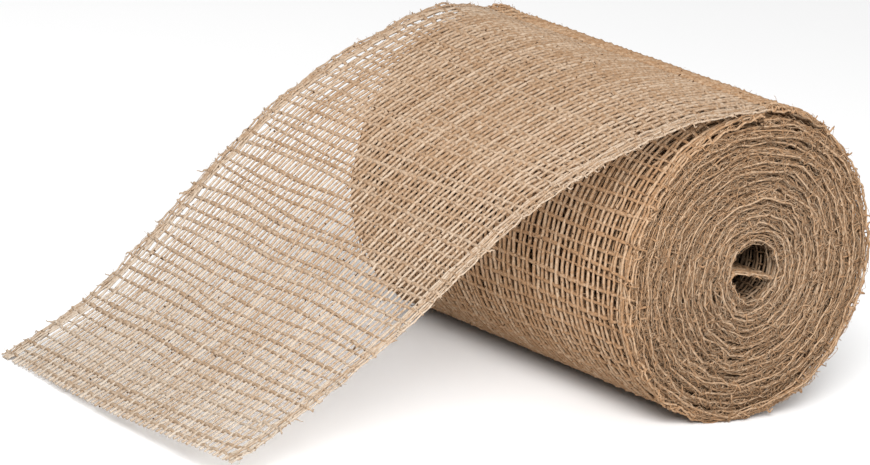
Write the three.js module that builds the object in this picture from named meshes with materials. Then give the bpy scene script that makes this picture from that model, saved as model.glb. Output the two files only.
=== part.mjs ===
// A roll of jute mesh ribbon, wound without a core. Its free end leaves over the top and comes down to the floor.
// Millimetres. +X runs along the roll towards its open face, -Y towards the ribbon's free end, +Z is up.
// The origin is on the floor, under the middle of the roll.

import * as THREE from 'three';

// ---- Driving dimensions ---------------------------------------------------------------------------

const ribbonWidth = 150;
const ribbonThickness = 1.8;
const rollRadius = 55;
const boreRadius = 9.4;
const turnPitch = 3;
const seamGap = 0.4;

// The inner turns stand a little further out of the open face than the outer ones.
const faceBulge = 4;

// Turns are drawn as straight facets, so the roll has a flat one to rest on.
const facetAngle = 10;

// Angles are measured about the roll's axis, from +Y towards +Z. Turns start and end at the top.
const topAngle = 90;
const innerEndAngle = 170;

// The free end: how far out and how high its cut edge lies, and how the sheet is pulled into its S-shape.
const tailStartHeight = 112.2;
const tailReach = 212.5;
const tailEndHeight = 6;
const tailEndSlope = 22;
const tailStartPull = 105;
const tailEndPull = 90;
const tailStationCount = 26;

// The cut edge is turned in plan and tipped sideways, so only its far corner touches the floor.
const cutEdgeTurn = -7;
const cutEdgeTip = 3.7;

// Where along the free end its outer half bends, as a share of its length.
const flexPlace = 0.55;

// ---- Shared helpers -------------------------------------------------------------------------------

const radians = THREE.MathUtils.degToRad;
const rollAxisHeight = rollRadius;

// A point at an angle and distance from the roll's axis.
function polarPoint(x, angle, radius) {
  const y = radius * Math.cos(radians(angle));
  const z = rollAxisHeight + radius * Math.sin(radians(angle));
  return new THREE.Vector3(x, y, z);
}

// A strip of ribbon as one closed body. Each station holds the ribbon's two edges and its upward normal.
function stripGeometry(stations) {
  const positions = [];
  const indices = [];
  for (const { left, right, normal } of stations) {
    const half = normal.clone().multiplyScalar(ribbonThickness / 2);
    const corners = [
      left.clone().add(half),
      right.clone().add(half),
      right.clone().sub(half),
      left.clone().sub(half),
    ];
    for (const corner of corners) {
      positions.push(corner.x, corner.y, corner.z);
    }
  }
  const quad = (a, b, c, d) => indices.push(a, b, c, a, c, d);
  for (let station = 0; station < stations.length - 1; station += 1) {
    const here = station * 4;
    const next = here + 4;
    for (let side = 0; side < 4; side += 1) {
      const other = (side + 1) % 4;
      quad(here + side, next + side, next + other, here + other);
    }
  }
  const last = (stations.length - 1) * 4;
  quad(0, 1, 2, 3);
  quad(last + 3, last + 2, last + 1, last);

  const geometry = new THREE.BufferGeometry();
  geometry.setAttribute('position', new THREE.Float32BufferAttribute(positions, 3));
  geometry.setIndex(indices);
  geometry.computeVertexNormals();
  return geometry;
}

function ribbonMesh(name, stations) {
  const material = new THREE.MeshStandardMaterial({ color: 0xb99b76, roughness: 0.95 });
  material.name = 'jute_mesh';
  const mesh = new THREE.Mesh(stripGeometry(stations), material);
  mesh.name = name;
  return mesh;
}

// ---- Wound turns ----------------------------------------------------------------------------------

// Facet corners lie half a facet either side of the bottom, with a corner added at each end of the strip.
function facetAngles(from, to) {
  const angles = [from];
  const firstCorner = facetAngle * Math.ceil(from / facetAngle) + facetAngle / 2;
  for (let angle = firstCorner; angle < to - 1; angle += facetAngle) {
    if (angle > from + 1) {
      angles.push(angle);
    }
  }
  angles.push(to);
  return angles;
}

// A wound length of ribbon between two angles, with half a seam gap left open at each end.
function woundStations(from, to, centreRadius) {
  const seam = (angle) => THREE.MathUtils.radToDeg(seamGap / 2 / centreRadius(angle));
  return facetAngles(from + seam(from), to - seam(to)).map((angle) => {
    const radius = centreRadius(angle);
    const shift = faceBulge * (1 - (radius / rollRadius) ** 2);
    const left = polarPoint(shift - ribbonWidth / 2, angle, radius);
    const right = polarPoint(shift + ribbonWidth / 2, angle, radius);
    const normal = new THREE.Vector3(0, Math.cos(radians(angle)), Math.sin(radians(angle)));
    return { left, right, normal };
  });
}

// The wound pack is one spiral from the bore outwards.
function spiralRadius(angle) {
  return boreRadius + ribbonThickness / 2 + turnPitch * ((angle - innerEndAngle) / 360);
}

function windings(name, firstTurn, lastTurn) {
  const from = firstTurn === 1 ? innerEndAngle : topAngle + 360 * (firstTurn - 1);
  return ribbonMesh(name, woundStations(from, topAngle + 360 * lastTurn, spiralRadius));
}

// The outermost turn is round, so that the pack can turn inside it. Its facets lie on the roll's radius.
function outerTurn() {
  const radius = rollRadius / Math.cos(radians(facetAngle / 2)) - ribbonThickness / 2;
  return ribbonMesh('outer_turn', woundStations(topAngle, topAngle + 360, () => radius));
}

// ---- Inner end ------------------------------------------------------------------------------------

// The ribbon starts as a flat strip across the bore, where the winding rod held it, then bends into turn one.
function innerEnd() {
  const wallGap = 0.4;
  const freeEndGap = 1;
  const shift = faceBulge;
  const direction = radians(innerEndAngle);
  const normal = new THREE.Vector3(0, Math.sin(direction), -Math.cos(direction));
  const ends = [freeEndGap - boreRadius, boreRadius - wallGap];
  const stations = ends.map((distance) => ({
    left: polarPoint(shift - ribbonWidth / 2, innerEndAngle, distance),
    right: polarPoint(shift + ribbonWidth / 2, innerEndAngle, distance),
    normal,
  }));
  return ribbonMesh('inner_end', stations);
}

// ---- Free end -------------------------------------------------------------------------------------

// The middle line of the free end: level over the roll, down in front of it, and easing onto the floor.
function tailMiddleLine() {
  const slope = radians(tailEndSlope);
  const start = new THREE.Vector3(0, 0, tailStartHeight);
  const startPull = new THREE.Vector3(0, -tailStartPull, tailStartHeight);
  const end = new THREE.Vector3(0, -tailReach, tailEndHeight);
  const endPull = new THREE.Vector3(0, tailEndPull * Math.cos(slope), tailEndPull * Math.sin(slope)).add(end);
  return new THREE.CubicBezierCurve3(start, startPull, endPull, end);
}

// The ribbon across its width, turning gradually from the roll's axis to the line of the cut edge.
function tailStation(share) {
  const line = tailMiddleLine();
  const middle = line.getPointAt(share);
  const along = line.getTangentAt(share);
  const across = new THREE.Vector3(1, radians(cutEdgeTurn) * share, radians(cutEdgeTip) * share).normalize();
  const half = across.clone().multiplyScalar(ribbonWidth / 2);
  return {
    left: middle.clone().sub(half),
    right: middle.clone().add(half),
    normal: along.cross(across).normalize(),
  };
}

function tailPart(name, from, to) {
  const stations = [];
  const steps = Math.round(tailStationCount * (to - from));
  for (let step = 0; step <= steps; step += 1) {
    stations.push(tailStation(from + (to - from) * (step / steps)));
  }
  return ribbonMesh(name, stations);
}

function tailParts() {
  const halfSeam = seamGap / 2 / tailMiddleLine().getLength();
  return [
    tailPart('tail_drape', 0, flexPlace - halfSeam),
    tailPart('tail_end', flexPlace + halfSeam, 1),
  ];
}

// ---- Assembly -------------------------------------------------------------------------------------

const ribbonRoll = new THREE.Group();
ribbonRoll.name = 'jute_mesh_ribbon_roll';
ribbonRoll.add(
  innerEnd(),
  windings('windings_inner', 1, 5),
  windings('windings_middle', 6, 10),
  windings('windings_outer', 11, 14),
  outerTurn(),
  ...tailParts(),
);

export default ribbonRoll;
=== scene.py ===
import math
from collections import namedtuple

import bpy
from mathutils import Matrix, Vector


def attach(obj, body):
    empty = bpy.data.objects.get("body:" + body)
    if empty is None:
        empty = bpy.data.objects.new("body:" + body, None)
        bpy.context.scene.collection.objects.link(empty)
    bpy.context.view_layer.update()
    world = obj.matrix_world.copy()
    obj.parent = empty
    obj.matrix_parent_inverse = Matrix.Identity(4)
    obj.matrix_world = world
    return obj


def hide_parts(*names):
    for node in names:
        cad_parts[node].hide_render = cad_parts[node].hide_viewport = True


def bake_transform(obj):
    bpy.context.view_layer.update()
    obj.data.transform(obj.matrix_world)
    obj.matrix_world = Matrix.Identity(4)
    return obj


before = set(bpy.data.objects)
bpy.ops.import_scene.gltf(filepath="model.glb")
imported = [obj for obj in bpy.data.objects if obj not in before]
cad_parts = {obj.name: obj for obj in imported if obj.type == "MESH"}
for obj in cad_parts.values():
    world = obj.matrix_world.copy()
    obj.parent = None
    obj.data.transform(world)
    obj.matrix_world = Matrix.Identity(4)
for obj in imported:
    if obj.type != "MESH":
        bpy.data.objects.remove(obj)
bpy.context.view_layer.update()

# ---- Camera -----------------------------------------------------------------------------------------
# A long lens looks down on the roll's open face, with the free end beside it. The camera is turned a little
# on its own axis, so the floor that both rest on slopes slightly across the picture.

VIEW_AZIMUTH = math.radians(47.8)
VIEW_ELEVATION = math.radians(15.0)
VIEW_ROLL = math.radians(6.7)
VIEW_DISTANCE = 3.2
VIEW_SIDESTEP = -0.0585
VIEW_HEIGHT = 0.0401
LENS = 377
SENSOR_WIDTH = 36


def aim_camera():
    level_right = Vector((math.cos(VIEW_AZIMUTH), math.sin(VIEW_AZIMUTH), 0))
    backwards = Vector((
        math.sin(VIEW_AZIMUTH) * math.cos(VIEW_ELEVATION),
        -math.cos(VIEW_AZIMUTH) * math.cos(VIEW_ELEVATION),
        math.sin(VIEW_ELEVATION),
    ))
    level_up = backwards.cross(level_right)
    right = math.cos(VIEW_ROLL) * level_right + math.sin(VIEW_ROLL) * level_up
    up = backwards.cross(right)
    target = VIEW_SIDESTEP * level_right + Vector((0, 0, VIEW_HEIGHT))
    lens = bpy.data.cameras.new("camera")
    lens.lens = LENS
    lens.sensor_width = SENSOR_WIDTH
    lens.clip_end = 20
    camera = bpy.data.objects.new("camera", lens)
    turn = Matrix((right, up, backwards)).transposed().to_4x4()
    camera.matrix_world = Matrix.Translation(target + backwards * VIEW_DISTANCE) @ turn
    bpy.context.scene.collection.objects.link(camera)
    bpy.context.scene.camera = camera


aim_camera()

# ---- Jute yarn --------------------------------------------------------------------------------------
# Undyed jute, spun in one loose ply. Its colour drifts from straw to brown along each yarn and from one
# yarn to the next, with darker bark specks, and the fibres lie in a slanting twist.

STRAW = (0.450, 0.385, 0.315, 1)
TAN = (0.305, 0.215, 0.142, 1)
BARK = (0.070, 0.040, 0.022, 1)
# Tint of the painted shade on the cloth inside the roll.
SHADE_TINT = (0.98, 0.71, 0.46, 1)
# Tint of the painted shade deep in the bore.
BORE_SHADE_TINT = (0.10, 0.08, 0.06, 1)
YARN_TONE_SHARE = 0.4
DRIFT_FREQUENCY = 800
SPECK_FREQUENCY = 650
FIBRE_HEIGHT = 0.0003


def add_node(tree, kind, inputs=(), **settings):
    """Adds a node. Each of inputs is (socket's name or number, value or another node's output)."""
    node = tree.nodes.new(kind)
    for name, value in settings.items():
        setattr(node, name, value)
    for name, value in inputs:
        if isinstance(value, bpy.types.NodeSocket):
            tree.links.new(value, node.inputs[name])
        else:
            node.inputs[name].default_value = value
    return node


def jute_material():
    material = bpy.data.materials.new("jute_yarn")
    material.use_nodes = True
    tree = material.node_tree
    tree.nodes.clear()
    tone = add_node(tree, "ShaderNodeAttribute", attribute_name="yarn_tone").outputs["Fac"]
    twist = add_node(tree, "ShaderNodeAttribute", attribute_name="yarn_twist").outputs["Vector"]
    place = add_node(tree, "ShaderNodeTexCoord").outputs["Object"]

    # Colour drifts over a few millimetres, on top of each yarn's own tone.
    drift = add_node(tree, "ShaderNodeTexNoise", [
        ("Vector", place), ("Scale", DRIFT_FREQUENCY), ("Detail", 3),
    ])
    mixed_tone = add_node(tree, "ShaderNodeMath", [
        (0, tone), (1, YARN_TONE_SHARE), (2, drift.outputs["Fac"]),
    ], operation="MULTIPLY_ADD")
    share = add_node(tree, "ShaderNodeMapRange", [
        ("Value", mixed_tone.outputs[0]), ("From Min", 0.48), ("From Max", 0.88),
    ])
    body = add_node(tree, "ShaderNodeMix", [
        ("Factor", share.outputs["Result"]), ("A", TAN), ("B", STRAW),
    ], data_type="RGBA")

    # Specks of bark are rare and small.
    speck = add_node(tree, "ShaderNodeTexNoise", [
        ("Vector", place), ("Scale", SPECK_FREQUENCY), ("Detail", 1),
    ])
    speck_share = add_node(tree, "ShaderNodeMapRange", [
        ("Value", speck.outputs["Fac"]), ("From Min", 0.71), ("From Max", 0.74),
    ])
    colour = add_node(tree, "ShaderNodeMix", [
        ("Factor", speck_share.outputs["Result"]), ("A", body.outputs["Result"]), ("B", BARK),
    ], data_type="RGBA")

    # Painted shade: the stored shade darkens and warms the colour, standing in for the shade between the
    # roll's turns. It is strongest on the cloth inside the roll and weaker along its edges, on the outer
    # turn and on the free end.
    shade_amount = add_node(tree, "ShaderNodeAttribute", attribute_name="cloth_shade").outputs["Fac"]
    shaded = add_node(tree, "ShaderNodeMix", [
        ("Factor", shade_amount), ("A", colour.outputs["Result"]), ("B", SHADE_TINT),
    ], data_type="RGBA", blend_type="MULTIPLY", clamp_factor=False)

    # Painted shade: the cloth deep in the bore is darkened, standing in for the shade inside the hole.
    deep = add_node(tree, "ShaderNodeAttribute", attribute_name="painted_bore_shade").outputs["Fac"]
    bore_shaded = add_node(tree, "ShaderNodeMix", [
        ("Factor", deep), ("A", shaded.outputs["Result"]), ("B", BORE_SHADE_TINT),
    ], data_type="RGBA", blend_type="MULTIPLY")

    # The fibres stand up as fine slanting ridges.
    fibres = add_node(tree, "ShaderNodeTexNoise", [("Vector", twist), ("Scale", 1), ("Detail", 2)])
    bump = add_node(tree, "ShaderNodeBump", [
        ("Height", fibres.outputs["Fac"]), ("Strength", 0.6), ("Distance", FIBRE_HEIGHT),
    ])
    shader = add_node(tree, "ShaderNodeBsdfPrincipled", [
        ("Base Color", bore_shaded.outputs["Result"]), ("Normal", bump.outputs["Normal"]),
        ("Roughness", 0.95), ("Specular IOR Level", 0.1),
    ])
    output = add_node(tree, "ShaderNodeOutputMaterial", [("Surface", shader.outputs["BSDF"])])
    output.is_active_output = True
    return material


jute = jute_material()

# ---- Jute mesh --------------------------------------------------------------------------------------
# The cloth is a plain open weave: thin warps along the ribbon, bunched at both edges, and thicker, uneven
# wefts across it, cut off in short stubs. It is drawn yarn by yarn along a line that the ribbon follows.

RIBBON_WIDTH = 0.150
WARP_COUNT = 68
WEFT_PITCH = 0.0047
WARP_RADIUS = 0.00050
WEFT_RADIUS = 0.00064
WARP_CRIMP = 0.00010
WEFT_CRIMP = 0.00034
SELVAGE_WARPS = 6
SELVAGE_PITCH = 0.0009
STUB_WARPS = 3
DEEPEST_CUT = 0.9
STUB_LEAN = 0.0012
STRAND_RADIUS = 0.00019
STRAND_STEPS = 3
WARP_SLUB = 0.7
WEFT_SLUB = 1.7
THINNEST_WARP = 0.5
THINNEST_WEFT = 0.45
EDGE_WARPS_SPREAD = 0.0030
EDGE_THINNING = 0.35
SHADE_TO_TONE = -0.45
HAIR_RADIUS = 0.00005
HAIR_SIDES = 3
GUIDE_LEAD = 0.012


def connect(tree, value, socket):
    if isinstance(value, Field):
        tree.links.new(value.socket, socket)
    else:
        socket.default_value = value


class Field:
    """A number worked out at every point of the yarns. Arithmetic on fields adds nodes to the tree."""

    def __init__(self, tree, socket):
        self.tree = tree
        self.socket = socket

    def maths(self, operation, *others):
        node = self.tree.nodes.new("ShaderNodeMath")
        node.operation = operation
        for value, socket in zip((self, *others), node.inputs):
            connect(self.tree, value, socket)
        return Field(self.tree, node.outputs[0])

    def __add__(self, other):
        return self.maths("ADD", other)

    def __sub__(self, other):
        return self.maths("SUBTRACT", other)

    def __mul__(self, other):
        return self.maths("MULTIPLY", other)

    def __truediv__(self, other):
        return self.maths("DIVIDE", other)

    def __rsub__(self, other):
        return self * -1 + other

    __radd__ = __add__
    __rmul__ = __mul__


def vector_of(tree, x, y, z):
    node = tree.nodes.new("ShaderNodeCombineXYZ")
    for value, socket in zip((x, y, z), node.inputs):
        connect(tree, value, socket)
    return node.outputs["Vector"]


def waver(tree, x, y, z, detail=0.0):
    """Smooth noise of about plus or minus one half, at a place given by three fields or numbers."""
    noise = add_node(tree, "ShaderNodeTexNoise", [
        ("Vector", vector_of(tree, x, y, z)), ("Scale", 1), ("Detail", detail),
    ])
    return Field(tree, noise.outputs["Fac"]) - 0.5


def chance(tree, number, seed, lowest=0.0, highest=1.0):
    """A random number that stays the same all along one yarn."""
    node = add_node(tree, "FunctionNodeRandomValue", [
        (2, lowest), (3, highest), ("ID", number.socket), ("Seed", seed),
    ], data_type="FLOAT")
    return Field(tree, node.outputs[1])


def keep(tree, geometry, name, value, data_type="FLOAT"):
    """Stores a value on the yarns' points under a name."""
    if isinstance(value, Field):
        value = value.socket
    node = add_node(tree, "GeometryNodeStoreNamedAttribute", [
        ("Geometry", geometry), ("Name", name), ("Value", value),
    ], data_type=data_type, domain="POINT")
    return node.outputs["Geometry"]


def recall(tree, name):
    node = add_node(tree, "GeometryNodeInputNamedAttribute", [("Name", name)], data_type="FLOAT")
    return Field(tree, node.outputs["Attribute"])


def yarn_lines(tree, yarns, points):
    """Straight yarns of so many points each, each point's share of the way, and its yarn's number."""
    line = add_node(tree, "GeometryNodeCurvePrimitiveLine", [("Start", (0, 0, 0)), ("End", (1, 0, 0))])
    fine = add_node(tree, "GeometryNodeResampleCurve", [
        ("Curve", line.outputs["Curve"]), ("Count", points.socket),
    ])
    many = add_node(tree, "GeometryNodeDuplicateElements", [
        ("Geometry", fine.outputs["Curve"]), ("Amount", yarns.socket),
    ], domain="SPLINE")
    share = add_node(tree, "GeometryNodeSplineParameter").outputs["Factor"]
    return many.outputs["Geometry"], Field(tree, share), Field(tree, many.outputs["Duplicate Index"])


def alternate(number):
    """1 for even numbers and -1 for odd ones."""
    return 1 - number.maths("MODULO", 2) * 2


def keep_yarn(tree, lines, along, across, height, radius, tone):
    """Stores where each point of a yarn lies in the flat cloth, how thick it is there, and its tone."""
    lines = keep(tree, lines, "cloth_along", along)
    lines = keep(tree, lines, "cloth_across", across)
    lines = keep(tree, lines, "cloth_height", height)
    lines = keep(tree, lines, "yarn_radius", radius)
    return keep(tree, lines, "yarn_tone", tone)


def warp_lines(tree, sizes):
    """Warps run the length of the piece. along counts wefts, so it is the same in the next piece."""
    points = sizes["Wefts"] * sizes["Steps per weft"] + 1
    lines, share, number = yarn_lines(tree, sizes["Warps"], points)
    fray = sizes["Fray"] * chance(tree, number, 5, -0.4, 1)
    along = share * (sizes["Wefts"] + fray) + sizes["First weft"]
    height = (along * math.pi).maths("SINE") * alternate(number) * WARP_CRIMP
    slub = waver(tree, along * 1.1, number * 5.13, 1.7, 2) * WARP_SLUB
    radius = (slub + chance(tree, number, 2, 0.9, 1.1)).maths("MAXIMUM", THINNEST_WARP) * sizes["Fullness"]
    radius = radius * WARP_RADIUS
    return keep_yarn(tree, lines, along, number, height, radius, chance(tree, number, 1, 0.25, 0.95))


def weft_lines(tree, sizes):
    """Wefts run across and stand out past both edges by stubs of uneven length."""
    gaps = sizes["Warps"] - 1
    points = (gaps + 2 * STUB_WARPS) * sizes["Steps per warp"] + 1
    lines, share, number = yarn_lines(tree, sizes["Wefts"], points)
    weft = number + sizes["First weft"]
    across = share * (gaps + 2 * STUB_WARPS) - STUB_WARPS
    left_stub = across.maths("MINIMUM", 0.0)
    right_stub = (across - gaps).maths("MAXIMUM", 0.0)
    left_cut = chance(tree, weft, 11).maths("POWER", 3.0) * sizes["Stubs"] - DEEPEST_CUT
    right_cut = chance(tree, weft, 12).maths("POWER", 3.0) * sizes["Stubs"] - DEEPEST_CUT
    across = across + left_stub * left_cut + right_stub * right_cut
    swing = (right_stub - left_stub) * chance(tree, weft, 13, -0.35, 0.35)
    along = weft + 0.5 + swing * 0.4
    crimp = (across * math.pi).maths("COSINE") * alternate(weft) * -WEFT_CRIMP
    height = crimp + swing * STUB_LEAN
    slub = waver(tree, across * 0.22, weft * 3.71, 9.2, 3) * WEFT_SLUB
    radius = (slub + chance(tree, weft, 3, 0.7, 1.3)).maths("MAXIMUM", THINNEST_WEFT)
    radius = radius * (1 - (right_stub - left_stub) * 0.2) * WEFT_RADIUS
    return keep_yarn(tree, lines, along, across, height, radius, chance(tree, weft, 4, 0.0, 0.7))


def strand_lines(tree, sizes):
    """Loose strands have come away from the yarns near both edges and wander along beside them."""
    lines, share, number = yarn_lines(tree, sizes["Strands"], sizes["Wefts"] * STRAND_STEPS + 1)
    along = share * sizes["Wefts"] + sizes["First weft"]
    middle = (sizes["Warps"] - 1) * 0.5
    from_edge = chance(tree, number, 31, -0.7, 5.0) + waver(tree, along * 1.1, number * 3.3, 0.6, 1) * 4
    across = middle - alternate(number) * (middle - from_edge)
    height = waver(tree, along * 1.3, number * 6.1, 2.2, 1) * sizes["Strand wander"]
    radius = chance(tree, number, 32, 0.7, 1.4) * STRAND_RADIUS
    return keep_yarn(tree, lines, along, across, height, radius, chance(tree, number, 33))


def distance_across(across, warps):
    """Where a warp number lies across the ribbon, how near it is to an edge, and on which side.

    Warps lie close together at both edges and wider apart in between.
    """
    inner_pitch = (RIBBON_WIDTH - 2 * (SELVAGE_WARPS * SELVAGE_PITCH + WARP_RADIUS)) / (
        WARP_COUNT - 1 - 2 * SELVAGE_WARPS)
    edge = RIBBON_WIDTH / 2 - WARP_RADIUS
    last = warps - 1
    side = (across - last * 0.5).maths("SIGN")
    from_edge = across.maths("MINIMUM", last - across)
    in_selvage = from_edge.maths("MINIMUM", float(SELVAGE_WARPS)) * SELVAGE_PITCH
    inside = (from_edge - SELVAGE_WARPS).maths("MAXIMUM", 0.0) * inner_pitch
    v = side * (edge - in_selvage - inside)
    spread = (v * v * (1 / edge ** 2) - 1) * EDGE_WARPS_SPREAD
    return v + spread, (v * (1 / edge)).maths("ABSOLUTE").maths("POWER", 6.0), side


Spot = namedtuple("Spot", "along across v edge side share")


def spot_in_cloth(tree, sizes):
    """Where each point lies in the flat cloth.

    along counts wefts and across counts warps. v is the distance from the middle line, edge goes from 0
    inside to 1 at both edges, side is -1 or 1, and share goes from 0 to 1 along the piece.
    """
    along = recall(tree, "cloth_along")
    across = recall(tree, "cloth_across")
    v, edge, side = distance_across(across, sizes["Warps"])
    share = (along - sizes["First weft"]) / sizes["Wefts"]
    return Spot(along, across, v, edge, side, share)


def slide_along(tree, sizes, spot):
    """How far a point is pulled along the ribbon. The wefts wander, bow and lean."""
    slide = waver(tree, spot.along * 0.55, spot.v * 16, 2.3, 1) * sizes["Weft waver"]
    slide = slide + spot.edge * waver(tree, spot.along * 0.4, spot.side * 5, 8.1) * sizes["Weft waver"] * 1.4
    middle = 1 - (spot.v * (2 / RIBBON_WIDTH)).maths("POWER", 2.0)
    slide = slide + spot.share * spot.share * middle * sizes["Bow"]
    return slide + spot.v * spot.share * (1 - spot.share) * sizes["Skew"]


def spread_across(tree, sizes, spot):
    """How far a point is pulled across the ribbon. The warps wander a few together, and all together."""
    spread = waver(tree, spot.across * 0.45, spot.along * 0.10, 5.5)
    spread = spread + waver(tree, spot.across * 0.9, spot.along * 0.5, 6.6)
    spread = spread * sizes["Warp waver"]
    return spread + waver(tree, spot.along * 0.11, 0.4, 3.9) * sizes["Sideways waver"]


def lift_off(tree, sizes, spot):
    """How far a point is pulled off the surface. The cloth ripples, and its edges scatter and fold."""
    lift = waver(tree, spot.along * 0.16, spot.v * 22, 9.1) * sizes["Ripple"]
    lift = lift + spot.edge * waver(tree, spot.along * 0.33, spot.side * 3, 4.4) * sizes["Edge ripple"]
    scatter = waver(tree, spot.along * 0.5, spot.across * 1.37, 7.7)
    scatter = scatter + waver(tree, spot.along * 1.7, spot.across * 2.1, 1.2) * 0.5
    lift = lift + spot.edge * scatter * sizes["Edge scatter"]
    return lift + spot.edge * (spot.across * math.pi).maths("COSINE") * sizes["Edge fold"]


def carry_to_guide(tree, lines, guide, sizes, spot):
    """Moves each point to its place on the guide line.

    The whole weave is pulled about together, so that the yarns still cross where they should.
    """
    curve = add_node(tree, "GeometryNodeMeshToCurve", [("Mesh", guide)])
    direction = add_node(tree, "GeometryNodeInputNamedAttribute", [
        ("Name", "across"),
    ], data_type="FLOAT_VECTOR")
    length = spot.share * sizes["Length"] + slide_along(tree, sizes, spot) + GUIDE_LEAD
    sample = add_node(tree, "GeometryNodeSampleCurve", [
        ("Curves", curve.outputs["Curve"]), ("Value", direction.outputs["Attribute"]),
        ("Length", length.socket),
    ], mode="LENGTH", data_type="FLOAT_VECTOR")
    normal = add_node(tree, "ShaderNodeVectorMath", [
        (0, sample.outputs["Tangent"]), (1, sample.outputs["Value"]),
    ], operation="CROSS_PRODUCT")
    distance = spot.v + spread_across(tree, sizes, spot)
    sideways = add_node(tree, "ShaderNodeVectorMath", [
        (0, sample.outputs["Value"]), ("Scale", distance.socket),
    ], operation="SCALE")
    height = recall(tree, "cloth_height") + lift_off(tree, sizes, spot)
    upwards = add_node(tree, "ShaderNodeVectorMath", [
        (0, normal.outputs["Vector"]), ("Scale", height.socket),
    ], operation="SCALE")
    offset = add_node(tree, "ShaderNodeVectorMath", [
        (0, sideways.outputs["Vector"]), (1, upwards.outputs["Vector"]),
    ], operation="ADD")
    place = add_node(tree, "ShaderNodeVectorMath", [
        (0, sample.outputs["Position"]), (1, offset.outputs["Vector"]),
    ], operation="ADD")
    return add_node(tree, "GeometryNodeSetPosition", [
        ("Geometry", lines), ("Position", place.outputs["Vector"]),
    ]).outputs["Geometry"]


def round_yarns(tree, lines, sizes, spot):
    """Makes the lines round yarns. The twist runs along the yarn and once round it."""
    ring = add_node(tree, "GeometryNodeCurvePrimitiveCircle", [
        ("Resolution", sizes["Sides"].socket), ("Radius", 1),
    ])
    turn = Field(tree, add_node(tree, "GeometryNodeSplineParameter").outputs["Factor"])
    radius = recall(tree, "yarn_radius") * (1 - spot.edge * EDGE_THINNING)
    yarns = add_node(tree, "GeometryNodeCurveToMesh", [
        ("Curve", lines), ("Profile Curve", keep(tree, ring.outputs["Curve"], "yarn_turn", turn)),
        ("Scale", radius.socket), ("Fill Caps", True),
    ])
    twist = vector_of(
        tree,
        recall(tree, "yarn_turn") * 7 + spot.along * 3,
        spot.across * 1.5 + spot.along * 1.5,
        recall(tree, "yarn_tone") * 50,
    )
    return keep(tree, yarns.outputs["Mesh"], "yarn_twist", twist, "FLOAT_VECTOR")


def colour_yarns(tree, yarns, sizes, spot):
    """Stores how much painted shade and how much painted bore shade each point gets. Shaded yarns are
    painted darker in tone too.
    """
    shade = sizes["Shade"] * (1 - spot.share) + sizes["End shade"] * spot.share
    shade = shade * (1 - spot.edge * sizes["Edge shade drop"])
    yarns = keep(tree, yarns, "cloth_shade", shade)
    yarns = keep(tree, yarns, "yarn_tone", recall(tree, "yarn_tone") + shade * SHADE_TO_TONE)
    return keep(tree, yarns, "painted_bore_shade", sizes["Bore shade"] * (1 - spot.edge).maths("MAXIMUM", 0.0))


def loose_fibres(tree, yarns, sizes, edge):
    """Short hairs that stand off the yarns and lean over, most of them near the edges."""
    hair_line = add_node(tree, "GeometryNodeCurveQuadraticBezier", [
        ("Resolution", 3), ("Start", (0, 0, 0)),
        ("Middle", (0.0003, 0, 0.0006)), ("End", (0.0011, 0, 0.0007)),
    ])
    hair_ring = add_node(tree, "GeometryNodeCurvePrimitiveCircle", [
        ("Resolution", HAIR_SIDES), ("Radius", 1),
    ])
    hair = add_node(tree, "GeometryNodeCurveToMesh", [
        ("Curve", hair_line.outputs["Curve"]), ("Profile Curve", hair_ring.outputs["Curve"]),
        ("Scale", HAIR_RADIUS), ("Fill Caps", True),
    ])
    roots = add_node(tree, "GeometryNodeDistributePointsOnFaces", [
        ("Mesh", yarns), ("Density", (sizes["Hairs per area"] * (edge * 4 + 0.2)).socket), ("Seed", 8),
    ])
    number = Field(tree, add_node(tree, "GeometryNodeInputIndex").outputs[0])
    spin = add_node(tree, "FunctionNodeAxisAngleToRotation", [
        ("Axis", (0, 0, 1)), ("Angle", chance(tree, number, 21, 0, 2 * math.pi).socket),
    ])
    turned = add_node(tree, "FunctionNodeRotateRotation", [
        ("Rotation", roots.outputs["Rotation"]), ("Rotate By", spin.outputs["Rotation"]),
    ], rotation_space="LOCAL")
    hairs = add_node(tree, "GeometryNodeInstanceOnPoints", [
        ("Points", roots.outputs["Points"]), ("Instance", hair.outputs["Mesh"]),
        ("Rotation", turned.outputs["Rotation"]), ("Scale", chance(tree, number, 22, 0.5, 1.5).socket),
    ])
    return add_node(tree, "GeometryNodeRealizeInstances", [
        ("Geometry", hairs.outputs["Instances"]),
    ]).outputs["Geometry"]


WEAVE_INPUTS = [
    ("Length", "NodeSocketFloat"),
    ("Warps", "NodeSocketInt"),
    ("Wefts", "NodeSocketInt"),
    ("First weft", "NodeSocketInt"),
    ("Steps per weft", "NodeSocketInt"),
    ("Steps per warp", "NodeSocketInt"),
    ("Sides", "NodeSocketInt"),
    ("Weft waver", "NodeSocketFloat"),
    ("Warp waver", "NodeSocketFloat"),
    ("Sideways waver", "NodeSocketFloat"),
    ("Ripple", "NodeSocketFloat"),
    ("Edge ripple", "NodeSocketFloat"),
    ("Edge scatter", "NodeSocketFloat"),
    ("Edge fold", "NodeSocketFloat"),
    ("Fullness", "NodeSocketFloat"),
    ("Stubs", "NodeSocketFloat"),
    ("Strands", "NodeSocketInt"),
    ("Strand wander", "NodeSocketFloat"),
    ("Shade", "NodeSocketFloat"),
    ("End shade", "NodeSocketFloat"),
    ("Edge shade drop", "NodeSocketFloat"),
    ("Bore shade", "NodeSocketFloat"),
    ("Skew", "NodeSocketFloat"),
    ("Bow", "NodeSocketFloat"),
    ("Fray", "NodeSocketFloat"),
    ("Hairs per area", "NodeSocketFloat"),
]


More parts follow.
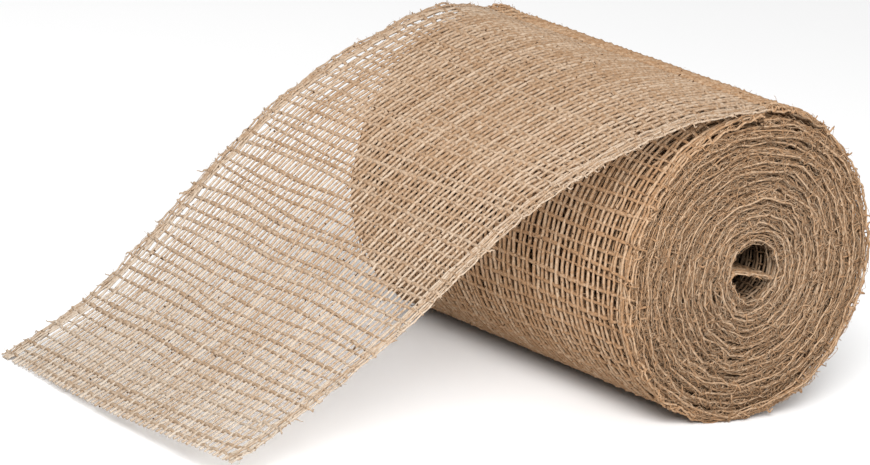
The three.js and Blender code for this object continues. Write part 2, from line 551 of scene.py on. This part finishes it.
def weave_tree():
    """Draws the yarns as flat lines, carries them to the guide, makes them round and adds loose fibres."""
    tree = bpy.data.node_groups.new("jute_mesh", "GeometryNodeTree")
    interface = tree.interface
    interface.new_socket("Guide", in_out="INPUT", socket_type="NodeSocketGeometry")
    for name, kind in WEAVE_INPUTS:
        interface.new_socket(name, in_out="INPUT", socket_type=kind)
    interface.new_socket("Cloth", in_out="OUTPUT", socket_type="NodeSocketGeometry")
    source = tree.nodes.new("NodeGroupInput")
    sizes = {name: Field(tree, source.outputs[name]) for name, kind in WEAVE_INPUTS}
    spot = spot_in_cloth(tree, sizes)

    flat = add_node(tree, "GeometryNodeJoinGeometry")
    for lines in (warp_lines(tree, sizes), weft_lines(tree, sizes), strand_lines(tree, sizes)):
        tree.links.new(lines, flat.inputs["Geometry"])
    placed = carry_to_guide(tree, flat.outputs["Geometry"], source.outputs["Guide"], sizes, spot)
    yarns = colour_yarns(tree, round_yarns(tree, placed, sizes, spot), sizes, spot)

    cloth = add_node(tree, "GeometryNodeJoinGeometry")
    tree.links.new(yarns, cloth.inputs["Geometry"])
    tree.links.new(loose_fibres(tree, yarns, sizes, spot.edge), cloth.inputs["Geometry"])
    smooth = add_node(tree, "GeometryNodeSetShadeSmooth", [("Geometry", cloth.outputs["Geometry"])])
    real = add_node(tree, "GeometryNodeRealizeInstances", [("Geometry", smooth.outputs["Geometry"])])
    finished = add_node(tree, "GeometryNodeSetMaterial", [
        ("Geometry", real.outputs["Geometry"]), ("Material", jute),
    ])
    sink = tree.nodes.new("NodeGroupOutput")
    tree.links.new(finished.outputs["Geometry"], sink.inputs["Cloth"])
    return tree


weave = weave_tree()


def guide_object(name, points, across):
    """The ribbon's middle line, with the direction across the ribbon kept at each point."""
    mesh = bpy.data.meshes.new(name)
    mesh.from_pydata(points, [(k, k + 1) for k in range(len(points) - 1)], [])
    stored = mesh.attributes.new("across", "FLOAT_VECTOR", "POINT")
    stored.data.foreach_set("vector", [number for direction in across for number in direction])
    guide = bpy.data.objects.new(name, mesh)
    bpy.context.scene.collection.objects.link(guide)
    return guide


def weave_ribbon(name, points, across, length, first_weft, **sizes):
    """Weaves a length of ribbon along the points, which run GUIDE_LEAD past both of its ends."""
    guide = guide_object(name + "_guide", points, across)
    modifier = guide.modifiers.new("weave", "NODES")
    modifier.node_group = weave
    wefts = round(length / WEFT_PITCH)
    values = {
        "Length": length, "Warps": WARP_COUNT, "Wefts": wefts, "First weft": first_weft,
        "Steps per weft": 4, "Steps per warp": 2, "Sides": 5, "Fullness": 1.0,
        "Weft waver": 0.0065, "Warp waver": 0.0007, "Sideways waver": 0.002,
        "Ripple": 0.0, "Edge ripple": 0.001, "Edge scatter": 0.002, "Edge fold": 0.0002,
        "Stubs": 0.9, "Strands": 4, "Strand wander": 0.0025, "Shade": 0.0, "End shade": 0.0,
        "Edge shade drop": 0.3, "Bore shade": 0.0, "Skew": 0.0, "Bow": 0.0, "Fray": 0.0, "Hairs per area": 28000.0,
    }
    values.update(sizes)
    inputs = [item for item in weave.interface.items_tree if item.in_out == "INPUT"]
    identifiers = {item.name: item.identifier for item in inputs}
    for label, value in values.items():
        modifier[identifiers[label]] = value
    depsgraph = bpy.context.evaluated_depsgraph_get()
    mesh = bpy.data.meshes.new_from_object(guide.evaluated_get(depsgraph))
    mesh.name = name
    ribbon = bpy.data.objects.new(name, mesh)
    bpy.context.scene.collection.objects.link(ribbon)
    bpy.data.objects.remove(guide)
    return ribbon, first_weft + wefts


def straight_across(points):
    return [Vector((1, 0, 0)) for point in points]


# ---- Inner end --------------------------------------------------------------------------------------
# The ribbon's first two centimetres lie flat across the bore, where the slotted winding rod held them.
# They bend sharply at the wall and go on as the first turn.

ROLL_RADIUS = 0.055
BORE_RADIUS = 0.0094
CLOTH_THICKNESS = 0.0018
TURN_PITCH = 0.003
FACE_BULGE = 0.004
SAG = 0.0012
INNER_END_ANGLE = 170
FIRST_TURN_ANGLE = 186
TOP_ANGLE = 90
STRIP_START = -0.0080
STRIP_PULL = 0.0090
WALL_PULL = 0.0112
GUIDE_STEP = 0.0015
STRIP_GUIDE_STEP = 0.0008


def around_roll(angle, radius, shift=0.0):
    """The point at an angle, from +Y towards +Z, and a distance from the middle of that turn."""
    turn = math.radians(angle)
    sag = SAG * (1 - radius / ROLL_RADIUS)
    return Vector((shift, radius * math.cos(turn), ROLL_RADIUS - sag + radius * math.sin(turn)))


def spiral_radius(angle):
    return BORE_RADIUS + CLOTH_THICKNESS / 2 + TURN_PITCH * (angle - INNER_END_ANGLE) / 360


def bulge(radius):
    """How far a turn of that radius stands out of the open face."""
    return FACE_BULGE * (1 - (radius / ROLL_RADIUS) ** 2)


def evenly(points, step=GUIDE_STEP):
    """The same line with points at even steps, and its length."""
    lengths = [0.0]
    for before, after in zip(points, points[1:]):
        lengths.append(lengths[-1] + (after - before).length)
    total = lengths[-1]
    count = max(2, round(total / step))
    even = []
    place = 0
    for k in range(count + 1):
        wanted = total * k / count
        while place < len(points) - 2 and lengths[place + 1] < wanted:
            place += 1
        share = (wanted - lengths[place]) / (lengths[place + 1] - lengths[place])
        even.append(points[place].lerp(points[place + 1], share))
    return even, total


def with_leads(points):
    """The line with a straight lead added at each end."""
    start = points[0] + (points[0] - points[1]).normalized() * GUIDE_LEAD
    end = points[-1] + (points[-1] - points[-2]).normalized() * GUIDE_LEAD
    return [start, *points, end]


def cubic(corners, steps=60):
    """Points along a cubic curve with those four corners."""
    a, b, c, d = corners
    line = []
    for k in range(steps + 1):
        t = k / steps
        s = 1 - t
        line.append(a * s ** 3 + b * 3 * s * s * t + c * 3 * s * t * t + d * t ** 3)
    return line


def inner_end():
    shift = bulge(BORE_RADIUS)
    line = cubic([
        around_roll(INNER_END_ANGLE, STRIP_START, shift),
        around_roll(INNER_END_ANGLE, STRIP_PULL, shift),
        around_roll(INNER_END_ANGLE - 3, WALL_PULL, shift),
        around_roll(FIRST_TURN_ANGLE, spiral_radius(FIRST_TURN_ANGLE), shift),
    ])
    points, length = evenly(line, STRIP_GUIDE_STEP)
    points = with_leads(points)
    ribbon, wefts = weave_ribbon(
        "inner_end_ribbon", points, straight_across(points), length, 0,
        # Painted shade, and painted bore shade deep in the bore.
        **{"Fray": 0.3, "Shade": 0.8, "End shade": 0.8, "Bore shade": 1.0},
    )
    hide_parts("inner_end")
    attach(ribbon, "wound_pack")
    return wefts


wefts_so_far = inner_end()

# ---- Wound turns ------------------------------------------------------------------------------------
# Fourteen turns of the same ribbon lie on one another in a spiral, wound loosely by machine. The outer ones
# are rounder and slacker, so their edges ripple more, and they have slipped out on one side. All of them
# turn together inside the outermost turn.

TURN_COUNT = 14
ROUND_FROM_TURN = 6
SETTLING_ANGLE = 50
PACK_FLARE = 0.006
SLACK_FLARE = 0.002
SLIP_ANGLE = 332
SLIP = 0.003
# Painted shade on the wound turns, a little more on the outer ones.
INNER_SHADE = 0.62
OUTER_SHADE = 0.74
TURN_NODES = [("windings_inner", 5), ("windings_middle", 10), ("windings_outer", 14)]


def arc_guide(from_angle, to_angle, radius_at, tilt_at, shift_at):
    """A wound length's guide, every two degrees, leads included, and the length between its ends."""
    lead = math.degrees(GUIDE_LEAD / radius_at(from_angle))
    lead_out = math.degrees(GUIDE_LEAD / radius_at(to_angle))

    def at(angle):
        radius = radius_at(angle)
        return around_roll(angle, radius, bulge(radius) + shift_at(angle))

    def stretch(start, end):
        steps = max(2, round((end - start) / 2))
        return [start + (end - start) * k / steps for k in range(steps + 1)]

    main = stretch(from_angle, to_angle)
    length = sum((at(b) - at(a)).length for a, b in zip(main, main[1:]))
    angles = stretch(from_angle - lead, from_angle)[:-1] + main + stretch(to_angle, to_angle + lead_out)[1:]
    across = []
    for angle in angles:
        outwards = (around_roll(angle, ROLL_RADIUS) - Vector((0, 0, ROLL_RADIUS))).normalized()
        across.append((Vector((1, 0, 0)) + outwards * tilt_at(angle)).normalized())
    return [at(angle) for angle in angles], across, length


def eased(share):
    """0 up to a share of 0 and 1 from a share of 1, with an easy slope between."""
    share = min(1, max(0, share))
    return share * share * (3 - 2 * share)


def wound_turn(number, first_weft):
    start = FIRST_TURN_ANGLE if number == 1 else TOP_ANGLE + 360 * (number - 1)
    end = TOP_ANGLE + 360 * number
    slackness = number / TURN_COUNT
    roundness = max(0, (number - ROUND_FROM_TURN) / (TURN_COUNT - ROUND_FROM_TURN))
    shade = INNER_SHADE + (OUTER_SHADE - INNER_SHADE) * slackness

    def radius_at(angle):
        share = min(1, max(0, (angle - end + 360) / 360))
        settled = eased(share * 360 / SETTLING_ANGLE)
        return spiral_radius(angle) + TURN_PITCH * roundness * (1 - share) * settled

    def slip_at(angle):
        return SLIP * roundness ** 3 * max(0, math.cos(math.radians(angle - SLIP_ANGLE))) ** 2

    def flare_at(angle):
        return PACK_FLARE + SLACK_FLARE * roundness

    points, across, length = arc_guide(start, end, radius_at, flare_at, slip_at)
    ribbon, wefts = weave_ribbon(
        f"turn_{number:02d}", points, across, length, first_weft,
        **{
            "Steps per weft": 2 if number <= 5 else 1, "Steps per warp": 1, "Sides": 3,
            "Weft waver": 0.008, "Warp waver": 0.0012, "Fullness": 1.35,
            "Sideways waver": 0.002 + 0.002 * slackness,
            "Ripple": 0.0004 + 0.0004 * slackness,
            "Edge ripple": 0.0004 + 0.0004 * slackness,
            "Edge scatter": 0.0045, "Edge fold": 0.00075,
            "Stubs": 0.35, "Strands": 44, "Strand wander": 0.0070,
            # Painted shade, weaker along the edges, and painted bore shade on the first turn.
            "Shade": shade, "End shade": shade, "Edge shade drop": 0.15,
            "Bore shade": 1.0 if number == 1 else 0.0, "Hairs per area": 8000.0,
        },
    )
    node = next(name for name, last in TURN_NODES if number <= last)
    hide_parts(node)
    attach(ribbon, "wound_pack")
    return wefts


for turn in range(1, TURN_COUNT + 1):
    wefts_so_far = wound_turn(turn, wefts_so_far)

# ---- Outermost turn ---------------------------------------------------------------------------------
# The last full turn, which the free end comes from. It is a loose fit on the pack, and over its last part
# it lifts off to lie on top of its own beginning. It is woven in two lengths, front and back.

OUTER_TURN_RADIUS = 0.0536
OUTER_LIFT_ANGLE = 375
TAIL_START_HEIGHT = 0.1107
SIDE_FLARE = 0.008
TOP_FLARE = 0.012
BAG = 0.0007
BAG_ANGLE = 245


def outer_radius(angle):
    """Nearly round, hanging slack low in front, then rising by a cloth's thickness to meet the free end."""
    rise = TAIL_START_HEIGHT - ROLL_RADIUS - OUTER_TURN_RADIUS
    lift = rise * eased((angle - OUTER_LIFT_ANGLE) / (TOP_ANGLE + 360 - OUTER_LIFT_ANGLE))
    slack = BAG * max(0, math.cos(math.radians(angle - BAG_ANGLE))) ** 2
    return OUTER_TURN_RADIUS + lift + slack


def outer_flare(angle):
    """The open face's end is a little wider than the other, most of all at the top."""
    return SIDE_FLARE + TOP_FLARE * math.sin(math.radians(angle))


def outer_slip(angle):
    """The turn has slipped towards the open face on one side."""
    return SLIP * max(0, math.cos(math.radians(angle - SLIP_ANGLE))) ** 2


def outer_part(name, from_angle, to_angle, first_weft):
    points, across, length = arc_guide(from_angle, to_angle, outer_radius, outer_flare, outer_slip)
    ribbon, wefts = weave_ribbon(
        name, points, across, length, first_weft,
        **{
            "Edge scatter": 0.004, "Edge fold": 0.0004, "Fullness": 1.3, "Strands": 10,
            # Painted shade, a little stronger along the edges.
            "Warp waver": 0.0014, "Strand wander": 0.004, "Shade": 0.6, "End shade": 0.6,
            "Edge shade drop": -0.1,
        },
    )
    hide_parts("outer_turn")
    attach(ribbon, "outer_wrap")
    return wefts


wefts_so_far = outer_part("outer_turn_front", TOP_ANGLE, TOP_ANGLE + 180, wefts_so_far)
wefts_so_far = outer_part("outer_turn_back", TOP_ANGLE + 180, TOP_ANGLE + 360, wefts_so_far)

# ---- Free end ---------------------------------------------------------------------------------------
# The free end leaves over the top of the roll and comes down to the floor in front of it, in the easy
# S-shape that the stiff jute keeps. Its cut edge is square to the ribbon and turned a little sideways.

TAIL_REACH = 0.2143
TAIL_END_HEIGHT = 0.0055
TAIL_END_SLOPE = math.radians(22)
TAIL_START_PULL = 0.105
TAIL_END_PULL = 0.090
CUT_EDGE_TURN = math.radians(-7.6)
CUT_EDGE_TIP = math.radians(3.7)
NEAR_LENGTH = 22 * WEFT_PITCH
WAIST = 0.024
WAIST_START = 0.150
CUT_SPREAD = 0.026
CUT_SPREAD_LENGTH = 0.025
FLARE_LENGTH = 0.012
FAR_EDGE_LIFT = 0.009
FAR_EDGE_LIFT_LENGTH = 0.062
TAIL_SWAY = 0.0010
TAIL_START_SLOPE = math.radians(2.3)
TAIL_WAVE = 0.0012
TAIL_WAVE_REACH = 0.095


def ribbon_width_share(distance, length):
    """The free end is drawn in a little along its middle and spreads where it is cut."""
    drawn_in = WAIST * math.sin(math.pi * eased((distance - WAIST_START) / (length - WAIST_START))) ** 2
    return 1 - drawn_in + CUT_SPREAD * eased(1 - (length - distance) / CUT_SPREAD_LENGTH)


def tail_line():
    """The free end's middle line in even steps, the direction across the ribbon at each, and its length."""
    start = Vector((0, 0, TAIL_START_HEIGHT))
    end = Vector((TAIL_SWAY, -TAIL_REACH, TAIL_END_HEIGHT))
    pull_back = Vector((0, math.cos(TAIL_END_SLOPE), math.sin(TAIL_END_SLOPE))) * TAIL_END_PULL
    pull = Vector((0, -math.cos(TAIL_START_SLOPE), math.sin(TAIL_START_SLOPE))) * TAIL_START_PULL
    sway = Vector((TAIL_SWAY, 0, 0))
    line = cubic([start, start + pull, end + pull_back + sway, end])
    for point in line:
        # The cloth springs up as it leaves the roll, and hangs a little lower just after.
        point.z += TAIL_WAVE * math.sin(2 * math.pi * min(1, -point.y / TAIL_WAVE_REACH))
    points, length = evenly(line)
    across = []
    for k in range(len(points)):
        share = k / (len(points) - 1)
        flare = (SIDE_FLARE + TOP_FLARE) * eased(1 - share * length / FLARE_LENGTH)
        flare -= FAR_EDGE_LIFT * math.sin(math.pi * eased(share * length / FAR_EDGE_LIFT_LENGTH))
        direction = Vector((1, CUT_EDGE_TURN * share, CUT_EDGE_TIP * share + flare)).normalized()
        across.append(direction * ribbon_width_share(share * length, length))
    return points, across, length


def tail_stretch(start, end):
    """The part of the free end between two distances from the roll, with leads that follow the same line."""
    points, across, length = tail_line()
    step = length / (len(points) - 1)
    lead_count = round(GUIDE_LEAD / step) + 1
    first_lead = [points[0] + (points[0] - points[1]) * k for k in range(lead_count, 0, -1)]
    last_lead = [points[-1] + (points[-1] - points[-2]) * k for k in range(1, lead_count + 1)]
    line = first_lead + points + last_lead
    directions = [across[0]] * lead_count + across + [across[-1]] * lead_count
    offset = lead_count * step

    def at(distance):
        place = (distance + offset) / step
        k = min(int(place), len(line) - 2)
        share = place - k
        return line[k].lerp(line[k + 1], share), directions[k].lerp(directions[k + 1], share)

    count = round((end - start + 2 * GUIDE_LEAD) / step)
    stations = [
        at(start - GUIDE_LEAD + (end - start + 2 * GUIDE_LEAD) * k / count) for k in range(count + 1)
    ]
    return [point for point, direction in stations], [direction for point, direction in stations]


def tail_part(name, node, start, end, first_weft, **sizes):
    points, across = tail_stretch(start, end)
    ribbon, wefts = weave_ribbon(name, points, across, end - start, first_weft, **sizes)
    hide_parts(node)
    return ribbon, wefts


tail_length = tail_line()[2]
near_tail, wefts_so_far = tail_part(
    "tail_near_ribbon", "tail_drape", 0, NEAR_LENGTH, wefts_so_far,
    # Painted shade, even along this part.
    **{"Fullness": 1.15, "Shade": 0.4, "End shade": 0.4},
)
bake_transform(near_tail)

far_tail, wefts_so_far = tail_part(
    "tail_far_ribbon", "tail_end", NEAR_LENGTH, tail_length, wefts_so_far,
    # Painted shade, fading out towards the cut end.
    **{"Shade": 0.4, "Fray": 0.08, "Bow": 0.003, "Skew": 0.15},
)
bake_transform(far_tail)
tail_length - NEAR_LENGTH

# ---- Floor and light --------------------------------------------------------------------------------
# A plain pale floor in a pale room. One soft light hangs overhead, and a stronger one stands in front of the
# roll and well above it.

FLOOR_HALF_WIDTH = 6.0
ROOM_STRENGTH = 0.62
LIT_POINT = Vector((0, -0.05, 0.04))


def matt(name, colour):
    material = bpy.data.materials.new(name)
    material.use_nodes = True
    shader = material.node_tree.nodes["Principled BSDF"]
    shader.inputs["Base Color"].default_value = colour
    shader.inputs["Roughness"].default_value = 0.9
    return material


def lay_floor():
    half = FLOOR_HALF_WIDTH
    corners = [(-half, -half, 0), (half, -half, 0), (half, half, 0), (-half, half, 0)]
    mesh = bpy.data.meshes.new("floor")
    mesh.from_pydata(corners, [], [(0, 1, 2, 3)])
    mesh.materials.append(matt("pale_floor", (0.92, 0.92, 0.92, 1)))
    floor = bpy.data.objects.new("floor", mesh)
    bpy.context.scene.collection.objects.link(floor)


def hang_light(name, place, size, power):
    light = bpy.data.lights.new(name, "AREA")
    light.shape = "SQUARE"
    light.size = size
    light.energy = power
    lamp = bpy.data.objects.new(name, light)
    lamp.location = place
    lamp.rotation_euler = (LIT_POINT - Vector(place)).to_track_quat("-Z", "Y").to_euler()
    bpy.context.scene.collection.objects.link(lamp)


def light_room(strength):
    world = bpy.data.worlds.new("room")
    world.use_nodes = True
    background = world.node_tree.nodes["Background"]
    background.inputs["Color"].default_value = (1, 1, 1, 1)
    background.inputs["Strength"].default_value = strength
    bpy.context.scene.world = world


lay_floor()
hang_light("overhead", (-0.3, -0.5, 1.6), size=1.2, power=1.6)
hang_light("front", (1.07, -0.88, 0.93), size=0.8, power=40)
light_room(ROOM_STRENGTH)
bpy.context.scene.view_settings.view_transform = "Standard"
